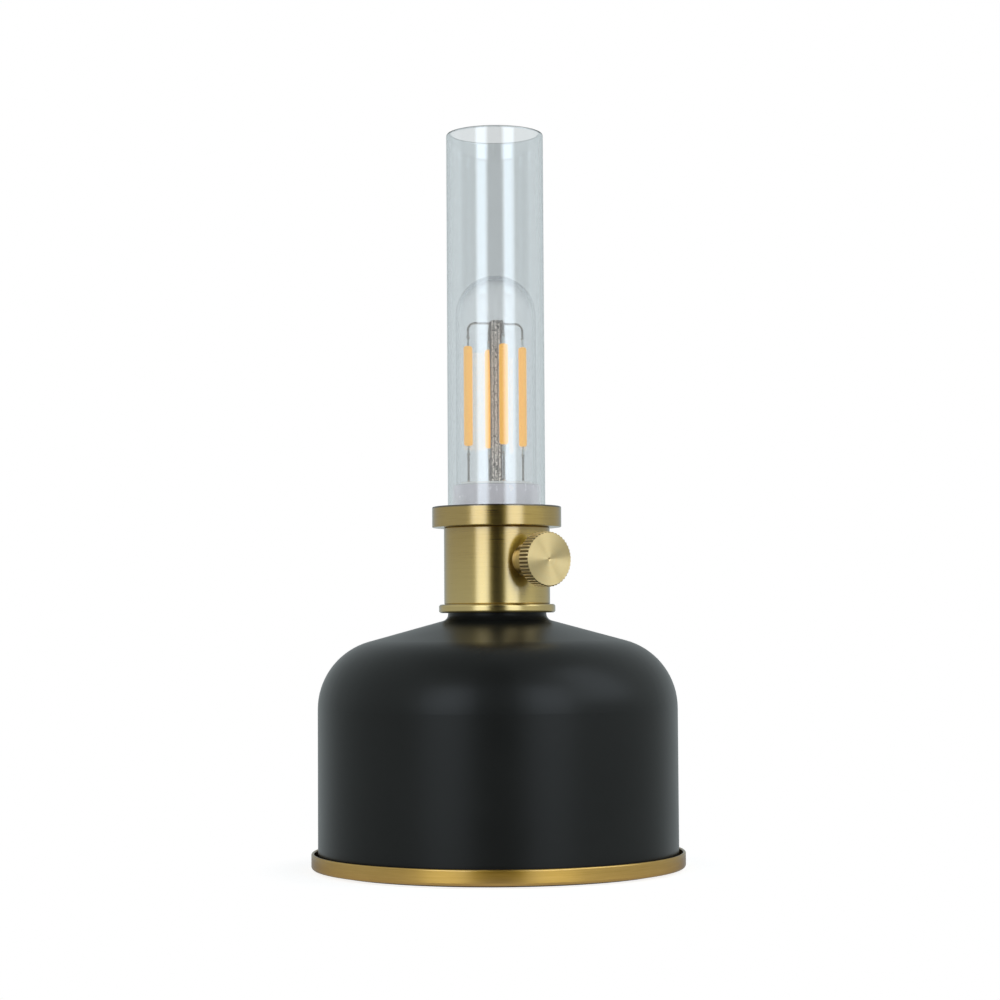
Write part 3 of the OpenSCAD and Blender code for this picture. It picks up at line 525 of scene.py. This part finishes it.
def dress_nodes():
    """Makes the materials, gives one to each node and builds the pieces that use them."""
    gallery_low, gallery_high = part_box("gallery_ring")
    ring_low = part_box("neck_ring")[0]
    # Rims and heights of the painted shade lines: the gallery ring's top edge and the neck ring's lower
    # edge.
    edges = [(box_radius("gallery_ring"), gallery_high.z), (box_radius("neck_ring"), ring_low.z)]
    # Turned brass with painted shade along the gallery's top and the neck ring's bottom, and painted light
    # making it paler lower down.
    turned = brass("antique_brass", rgb(0.49, 0.285, 0.02), rgb(0.635, 0.41, 0.06),
                   roughness=0.3, edges=edges, painted_light_span=(ring_low.z, gallery_low.z))
    spun = brass("spun_brass", rgb(0.60, 0.335, 0.035), rgb(0.76, 0.46, 0.085),
                 roughness=0.33, brushing=0.5, coat=0.6)
    face = brass("bright_brass", rgb(1.0, 0.72, 0.32), rgb(1.0, 0.79, 0.41), knob=True,
                 roughness=0.37, brushing=0.95, coat=0.2, grooves=True)
    bush = brass("ferrule_brass", rgb(0.56, 0.40, 0.15), rgb(0.76, 0.57, 0.25), knob=True, roughness=0.30)
    tube = glass("chimney_glass", 2.0, 0.005, rgb(0.748, 0.796, 0.812), 508.0)
    bulb_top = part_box("bulb_glass")[1].z
    painted_crown_shade = (bulb_top - box_radius("bulb_glass"), bulb_top - 2.0 * MM)
    # The bulb glass gets a faint painted glow (0.07) and painted shade on its round top.
    bulb = glass("bulb_glass", 1.2, 0.004, rgb(0.79, 0.81, 0.82), 380.0, 0.07, painted_crown_shade)
    stem = frosted_stem()
    coat = phosphor()
    wire = grainy_wire()
    zinc = plain_metal("zinc_steel", rgb(0.42, 0.43, 0.44), rgb(0.62, 0.63, 0.64), 0.34)
    nickel = plain_metal("nickel_plate", rgb(0.58, 0.56, 0.52), rgb(0.74, 0.72, 0.68), 0.24)
    black = plastic("black_plastic", rgb(0.012, 0.012, 0.013), rgb(0.024, 0.024, 0.026), 0.48, 1400.0, 0.12)
    red = plastic("red_silicone", rgb(0.32, 0.02, 0.015), rgb(0.44, 0.04, 0.03), 0.5, 900.0, 0.05)
    dark = plastic("black_silicone", rgb(0.010, 0.010, 0.010), rgb(0.020, 0.020, 0.020), 0.5, 900.0, 0.05)
    # White leads inside the bulb: painted glow (0.4) for light that doesn't reach them through the glass.
    pale = plastic("white_silicone", rgb(0.66, 0.66, 0.66), rgb(0.76, 0.76, 0.75), 0.5, 900.0, 0.05, 0.4)
    wrap = plastic("cell_wrap", rgb(0.04, 0.14, 0.32), rgb(0.05, 0.18, 0.40), 0.25, 120.0, 0.02)
    phenolic = plastic("phenolic", rgb(0.22, 0.12, 0.06), rgb(0.34, 0.20, 0.10), 0.6, 1800.0, 0.08)
    green = board("green_board", rgb(0.02, 0.14, 0.06), rgb(0.45, 0.40, 0.25), rgb(0.05, 0.25, 0.11))
    # White LED board inside the bulb: painted glow (0.5) for light that doesn't reach it through the glass.
    white = board("white_board", rgb(0.82, 0.82, 0.80), rgb(0.70, 0.69, 0.66), rgb(0.76, 0.76, 0.73), 0.5)
    looks = {
        turned: ["neck_ring", "neck_collar", "gallery_ring"],
        spun: ["base_tray"],
        face: ["dimmer_knob"],
        bush: ["knob_ferrule"],
        black_paint(): ["body_dome"],
        tube: ["glass_chimney"],
        bulb: ["bulb_glass"],
        stem: ["stem_tube"],
        milky_resin(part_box("chimney_seat")[1].z): ["chimney_seat"],
        coat: ["led_filaments"],
        nickel: ["filament_pins", "cell_contacts", "charge_port"],
        wire: ["support_wires", "stem_leads", "stem_hub"],
        zinc: ["tie_rod", "tie_rod_nuts", "tie_rod_washers", "dimmer_bush", "dimmer_can",
               "dimmer_spindle", "knob_grub_screw", "carrier_screws", "board_screws"],
        phenolic: ["dimmer_wafer"],
        black: ["dimmer_rotor", "cell_carrier", "board_parts", "port_bezel"],
        wrap: ["battery_cells"],
        red: ["battery_leads"],
        dark: ["dimmer_leads"],
        pale: ["led_leads"],
        green: ["driver_board"],
        white: ["led_board"],
        foam(): ["foot_pad"],
    }
    for made, nodes in looks.items():
        for node in nodes:
            dress(node, made)
    tray_shell(spun)
    chimney_tube(tube)
    filament_coats(coat)
    waisted_stem(stem)
    stem_cap(stem)
    solder_joints(nickel)
    port_insert(black, nickel)


# Pieces


def piece(name, shape, made, replaced=None, body="lantern"):
    """Ends a bmesh as a smooth piece of a body."""
    bmesh.ops.recalc_face_normals(shape, faces=shape.faces)
    mesh = bpy.data.meshes.new(name)
    shape.to_mesh(mesh)
    shape.free()
    mesh.shade_smooth()
    mesh.set_sharp_from_angle(angle=SHARP)
    mesh.materials.append(made)
    made_piece = bpy.data.objects.new(name, mesh)
    SCENE.collection.objects.link(made_piece)
    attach(made_piece, body)
    if replaced:
        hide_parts(replaced)


def loft(shape, rings):
    """Joins closed rings of points one after the other and closes both ends."""
    loops = [[shape.verts.new(point) for point in ring] for ring in rings]
    for low, high in zip(loops, loops[1:]):
        for i in range(len(low)):
            j = (i + 1) % len(low)
            shape.faces.new((low[i], low[j], high[j], high[i]))
    shape.faces.new(loops[0])
    shape.faces.new(loops[-1])


def braced(section):
    """Closed section with a point near either end of each long side, so that the side is shaded as flat."""
    points = []
    for (r, z), (next_r, next_z) in zip(section, section[1:] + section[:1]):
        points.append((r, z))
        length = math.hypot(next_r - r, next_z - z)
        if length > LONG_SIDE:
            for part in (BRACE / length, 1 - BRACE / length):
                points.append((r + (next_r - r) * part, z + (next_z - z) * part))
    return points


def turn(shape, section, sides):
    """Turns a closed section of (radius, height) points around the lantern's axis."""
    axis = Vector((0.0, 0.0, 0.0))
    rings = [turned_ring(axis, z, r, sides) for r, z in braced(section)]
    loops = [[shape.verts.new(point) for point in ring] for ring in rings]
    for low, high in zip(loops, loops[1:] + loops[:1]):
        for i in range(sides):
            j = (i + 1) % sides
            shape.faces.new((low[i], low[j], high[j], high[i]))


def arc(centre_r, centre_z, radius, first, last):
    """Points of an arc of a section, with its angles in degrees."""
    points = []
    for i in range(ARC_STEPS + 1):
        angle = math.radians(first + (last - first) * i / ARC_STEPS)
        points.append((centre_r + radius * math.cos(angle), centre_z + radius * math.sin(angle)))
    return points


def tray_shell(made):
    """Spun tray with a rolled rim, all of one sheet."""
    low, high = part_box("base_tray")
    places = [(math.hypot(v.co.x, v.co.y), v.co.z) for v in NODES["base_tray"].data.vertices]
    base_r = box_radius("base_tray")
    hole_r = min(r for r, z in places)
    deck = [z for r, z in places if r < base_r / 2]
    sheet = max(deck) - min(deck)
    step_r = max(r for r, z in places if z > max(deck) - sheet / 2 and r < base_r - 2 * sheet)
    section = [(hole_r, min(deck)), (step_r - sheet, min(deck)), (step_r - sheet, low.z)]
    section += arc(base_r - sheet, low.z + sheet, sheet, -90, 0)
    section += arc(base_r - sheet / 2, high.z - sheet / 2, sheet / 2, 0, 180)
    section += [(base_r - sheet, low.z + sheet), (step_r, low.z + sheet)]
    section += [(step_r, max(deck)), (hole_r, max(deck))]
    shape = bmesh.new()
    turn(shape, section, TRAY_SIDES)
    piece("tray_shell", shape, made, "base_tray")


def chimney_tube(made):
    """Drawn tube with a fire-polished rim and a ground foot."""
    low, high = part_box("glass_chimney")
    places = [math.hypot(v.co.x, v.co.y) for v in NODES["glass_chimney"].data.vertices]
    outer, inner = box_radius("glass_chimney"), min(places)
    wall = outer - inner
    section = arc(inner + FOOT_EDGE, low.z + FOOT_EDGE, FOOT_EDGE, 180, 270)
    section += arc(outer - FOOT_EDGE, low.z + FOOT_EDGE, FOOT_EDGE, 270, 360)
    section += arc(outer - wall / 2, high.z - wall / 2, wall / 2, 0, 180)
    shape = bmesh.new()
    turn(shape, section, TUBE_SIDES)
    piece("chimney_tube", shape, made, "glass_chimney", "chimney")


def turned_ring(centre, z, radius, sides):
    """Points of a level circle. radius is a number, or a function of the angle."""
    points = []
    for i in range(sides):
        turn = 2 * math.pi * i / sides
        r = radius(turn) if callable(radius) else radius
        points.append((centre.x + r * math.cos(turn), centre.y + r * math.sin(turn), z))
    return points


def filament_spots():
    """Axis of each filament, taken from the frame, their lowest and highest point, and their radius."""
    low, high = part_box("led_filaments")
    points = [vertex.co for vertex in NODES["led_filaments"].data.vertices]
    spots = []
    for k in range(FILAMENTS):
        turn = FILAMENT_TURN + k * 2 * math.pi / FILAMENTS
        out = Vector((math.cos(turn), math.sin(turn), 0.0))
        reach = [point.dot(out) for point in points]
        near = [r for r in reach if r > max(reach) / 2]
        spots.append(out * (min(near) + max(near)) / 2)
    return spots, low.z, high.z, (max(near) - min(near)) / 2


def filament_coats(made):
    """Filaments with round ends and the faint swellings of the chips under the phosphor."""
    spots, low, high, radius = filament_spots()
    shape = bmesh.new()
    steps = CHIPS * CHIP_STEPS
    for spot in spots:
        rings = []
        for i in range(COAT_END_STEPS + 1):
            turn = math.pi / 2 * i / COAT_END_STEPS
            z = low + COAT_ROUND * (1 - math.cos(turn))
            rings.append((z, radius - COAT_ROUND + COAT_ROUND * math.sin(turn)))
        for i in range(1, steps):
            z = low + COAT_ROUND + (high - low - 2 * COAT_ROUND) * i / steps
            swell = CHIP_SWELL * (0.5 + 0.5 * math.cos(2 * math.pi * i / CHIP_STEPS))
            rings.append((z, radius - CHIP_SWELL + swell))
        rings += [(low + high - z, r) for z, r in reversed(rings[:COAT_END_STEPS + 1])]
        loft(shape, [turned_ring(spot, z, r, COAT_SIDES) for z, r in rings])
    piece("filament_coats", shape, made, "led_filaments")


def waisted_stem(made):
    """Pressed glass stem around its two leads: waisted, with a seam on either side."""
    low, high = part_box("stem_tube")
    axis = Vector((0.0, 0.0, 0.0))
    shape = bmesh.new()
    rings = []
    for i in range(STEM_STEPS + 1):
        along = i / STEM_STEPS
        z = low.z + (high.z - low.z) * along
        if along > STEM_WAIST_AT:
            end_r, reach = STEM_TOP_R, 1 - STEM_WAIST_AT
        else:
            end_r, reach = STEM_FOOT_R, STEM_WAIST_AT
        flare = abs(along - STEM_WAIST_AT) / reach
        mean = STEM_WAIST_R + (end_r - STEM_WAIST_R) * flare ** 2
        wave = math.sin(along * RIPPLE_FAST) * math.sin(along * RIPPLE_SLOW)

        def lobed(turn, mean=mean, wave=wave):
            lobe = STEM_LOBE * math.cos(2 * (turn - STEM_TURN))
            return mean + lobe + STEM_RIPPLE * wave * math.cos(3 * turn + RIPPLE_TWIST * wave)

        rings.append(turned_ring(axis, z, lobed, STEM_SIDES))
    loft(shape, rings)
    piece("glass_stem", shape, made, "stem_tube")


def stem_cap(made):
    """Pinched top of the stem, which holds the hooks: two round lobes over the leads."""
    low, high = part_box("stem_hub")
    axis = Vector((0.0, 0.0, 0.0))
    widest = box_radius("stem_hub")
    shape = bmesh.new()
    rings = []
    for i in range(CAP_STEPS + 1):
        along = i / CAP_STEPS
        z = low.z + (high.z - low.z) * along
        past = max(0.0, along - CAP_ROUND_FROM) / (1 - CAP_ROUND_FROM)
        round_off = math.sqrt(1 - CAP_FLAT * past ** 2)

        def lobed(turn, round_off=round_off):
            return round_off * (widest - CAP_LOBE + CAP_LOBE * math.cos(2 * (turn - STEM_TURN)))

        rings.append(turned_ring(axis, z, lobed, STEM_SIDES))
    loft(shape, rings)
    piece("stem_cap", shape, made, "stem_hub")


def slab(shape, low, high, edge):
    """Block between two corners, with its edges rounded off."""
    middle = (low + high) / 2
    size = Matrix.Diagonal((*(high - low), 1.0))
    block = bmesh.ops.create_cube(shape, size=1.0, matrix=Matrix.Translation(middle) @ size)
    edges = list({e for vertex in block["verts"] for e in vertex.link_edges})
    bmesh.ops.bevel(shape, geom=edges, offset=edge, segments=3, profile=0.5, affect="EDGES")


def port_insert(black, nickel):
    """Tongue of the charge port, and its two rows of contacts."""
    low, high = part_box("charge_port")
    middle = (low.z + high.z) / 2
    tongue = bmesh.new()
    near, far = low.y + TONGUE_SETBACK, low.y + TONGUE_SETBACK + TONGUE_L
    slab(tongue, Vector((-TONGUE_W / 2, near, middle - TONGUE_T / 2)),
         Vector((TONGUE_W / 2, far, middle + TONGUE_T / 2)), TONGUE_EDGE)
    piece("port_tongue", tongue, black)
    contacts = bmesh.new()
    for side in (-1, 1):
        face = middle + side * TONGUE_T / 2
        for k in range(CONTACTS):
            x = (k - (CONTACTS - 1) / 2) * CONTACT_PITCH
            slab(contacts, Vector((x - CONTACT_W / 2, far - CONTACT_L, face - CONTACT_T / 2)),
                 Vector((x + CONTACT_W / 2, far - 2 * TONGUE_EDGE, face + CONTACT_T / 2)), CONTACT_T / 4)
    piece("port_contacts", contacts, nickel)


def solder_joints(made):
    """Solder where each support wire stands on the LED board, and weld beads at the filaments' pins."""
    spots = filament_spots()[0]
    board_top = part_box("led_board")[1].z
    pins_low, pins_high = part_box("filament_pins")
    shape = bmesh.new()
    for spot in spots:
        rings = []
        for i in range(JOINT_STEPS + 1):
            up = i / JOINT_STEPS
            r = SOLDER_TIP_R + (SOLDER_FOOT_R - SOLDER_TIP_R) * (1 - up) ** 2
            rings.append((board_top + SOLDER_H * up, r))
        loft(shape, [turned_ring(spot, z, r, JOINT_SIDES) for z, r in rings])
        for z in (pins_low.z, pins_high.z):
            rings = []
            for i in range(1, 2 * JOINT_STEPS):
                turn = math.pi * i / (2 * JOINT_STEPS)
                rings.append((z - BEAD_H / 2 * math.cos(turn), BEAD_R * math.sin(turn) ** BEAD_BLUNT))
            loft(shape, [turned_ring(spot, z, r, JOINT_SIDES) for z, r in rings])
    piece("solder_joints", shape, made)


# Studio


def studio_world():
    """Grey room: two tall soft panels beside the camera, a dark gap between them and a pale backdrop."""
    world = bpy.data.worlds.new("studio")
    SCENE.world = world
    s = Shader(world)
    direction = s.add("TexCoord").outputs["Generated"]
    ahead = s.vector("DOT_PRODUCT", direction, TO_CAMERA)
    right = s.vector("DOT_PRODUCT", direction, CAMERA_RIGHT)
    azimuth = s.math("DEGREES", s.math("ARCTAN2", right, ahead))
    height = s.add("SeparateXYZ", {0: direction}).outputs["Z"]
    elevation = s.math("DEGREES", s.math("ARCSINE", height))

    def band(angle, low, high, soft):
        rise = s.ramp(angle, low - soft, low + soft, smooth=True)
        fall = s.ramp(angle, high - soft, high + soft, 1.0, 0.0, smooth=True)
        return s.math("MULTIPLY", rise, fall)

    def towards(level, target, mask):
        return s.add("Mix", {0: mask, 2: level, 3: target}, data_type="FLOAT").outputs[0]

    room = s.ramp(elevation, *ROOM_RISE, ROOM_LOW, ROOM_HIGH, smooth=True)
    behind = s.ramp(s.math("ABSOLUTE", azimuth), *BACKDROP_TURN, smooth=True)
    backdrop = s.ramp(elevation, *BACKDROP_RISE, BACKDROP_LOW, BACKDROP_HIGH, smooth=True)
    level = towards(room, backdrop, behind)
    for azimuths, elevations, strength, soft in PANELS:
        mask = s.math("MULTIPLY", band(azimuth, *azimuths, soft), band(elevation, *elevations, soft / 2))
        level = towards(level, strength, mask)
    rays = s.add("LightPath").outputs
    glassy = s.math("MULTIPLY", level, LEVEL_IN_GLASS)
    glassy = towards(glassy, GAP_LEVEL, band(azimuth, *GAP_IN_GLASS, GAP_SOFT))
    level = towards(level, glassy, rays["Is Transmission Ray"])
    mirrored = s.math("MINIMUM", rays["Glossy Depth"], 1.0)
    frontal = s.ramp(s.math("ABSOLUTE", azimuth), *MIRROR_TURN, 1.0, 0.0)
    mirrored = s.math("MULTIPLY", mirrored, frontal)
    through = s.math("MULTIPLY", rays["Is Transmission Ray"], s.math("SUBTRACT", 1.0, mirrored))
    plain = s.math("MAXIMUM", rays["Is Camera Ray"], through)
    level = towards(level, 1.0, plain)
    colour = s.blend(s.ramp(level, 1.0, 2.0), ROOM_COLOUR, PANEL_COLOUR)
    colour = s.blend(plain, colour, rgb(1.0, 1.0, 1.0))
    background = s.add("Background", {"Color": colour, "Strength": level})
    output = s.add("OutputWorld")
    s.tree.links.new(background.outputs[0], output.inputs["Surface"])


def floor():
    """Pale round floor that keeps a soft shadow."""
    made, s = material("pale_floor")
    shade = s.add("BsdfDiffuse", {"Color": rgb(FLOOR_SHADE, FLOOR_SHADE, FLOOR_SHADE)})
    glow = s.add("Emission", {"Color": rgb(1.0, 1.0, 1.0), "Strength": FLOOR_GLOW})
    both = s.add("AddShader", {0: shade.outputs[0], 1: glow.outputs[0]})
    white = s.add("Emission", {"Color": rgb(1.0, 1.0, 1.0), "Strength": 1.0})
    far = s.ramp(s.vector("LENGTH", s.object_point()), FLOOR_FADE, FLOOR_RADIUS, smooth=True)
    pale = s.add("MixShader", {0: far, 1: both.outputs[0], 2: white.outputs[0]})
    matt = s.add("BsdfDiffuse", {"Color": rgb(FLOOR_MATT, FLOOR_MATT, FLOOR_MATT)})
    dim = s.add("Emission", {"Color": rgb(1.0, 1.0, 1.0), "Strength": FLOOR_IN_METAL})
    rays = s.add("LightPath").outputs
    seen = s.math("MAXIMUM", rays["Is Camera Ray"], rays["Is Transmission Ray"])
    direct = s.add("MixShader", {0: seen, 1: matt.outputs[0], 2: pale.outputs[0]})
    above = s.add("MixShader", {0: rays["Is Glossy Ray"], 1: direct.outputs[0], 2: dim.outputs[0]})
    below = s.add("NewGeometry").outputs["Backfacing"]
    clear = s.add("BsdfTransparent")
    surface = s.add("MixShader", {0: below, 1: above.outputs[0], 2: clear.outputs[0]})
    output = s.add("OutputMaterial")
    s.tree.links.new(surface.outputs[0], output.inputs["Surface"])
    mesh = bpy.data.meshes.new("floor")
    shape = bmesh.new()
    bmesh.ops.create_circle(shape, cap_ends=True, segments=FLOOR_SIDES, radius=FLOOR_RADIUS)
    shape.to_mesh(mesh)
    shape.free()
    mesh.materials.append(made)
    disc = bpy.data.objects.new("floor", mesh)
    disc.location.z = -FLOOR_DROP
    SCENE.collection.objects.link(disc)


def camera():
    """Camera where the photograph was taken from."""
    data = bpy.data.cameras.new("photo_camera")
    data.lens = LENS_MM
    data.sensor_width = SENSOR_MM
    data.clip_start = 0.01
    eye = TO_CAMERA * CAMERA_DISTANCE + Vector((0.0, 0.0, EYE_HEIGHT))
    aim = CAMERA_RIGHT * AIM_RIGHT + Vector((0.0, 0.0, AIM_HEIGHT))
    turn = (aim - eye).to_track_quat("-Z", "Y").to_matrix() @ Matrix.Rotation(CAMERA_ROLL, 3, "Z")
    viewer = bpy.data.objects.new("photo_camera", data)
    viewer.matrix_world = Matrix.Translation(eye) @ turn.to_4x4()
    SCENE.collection.objects.link(viewer)
    SCENE.camera = viewer


camera()
studio_world()
floor()
dress_nodes()
SCENE.view_settings.view_transform = "Standard"
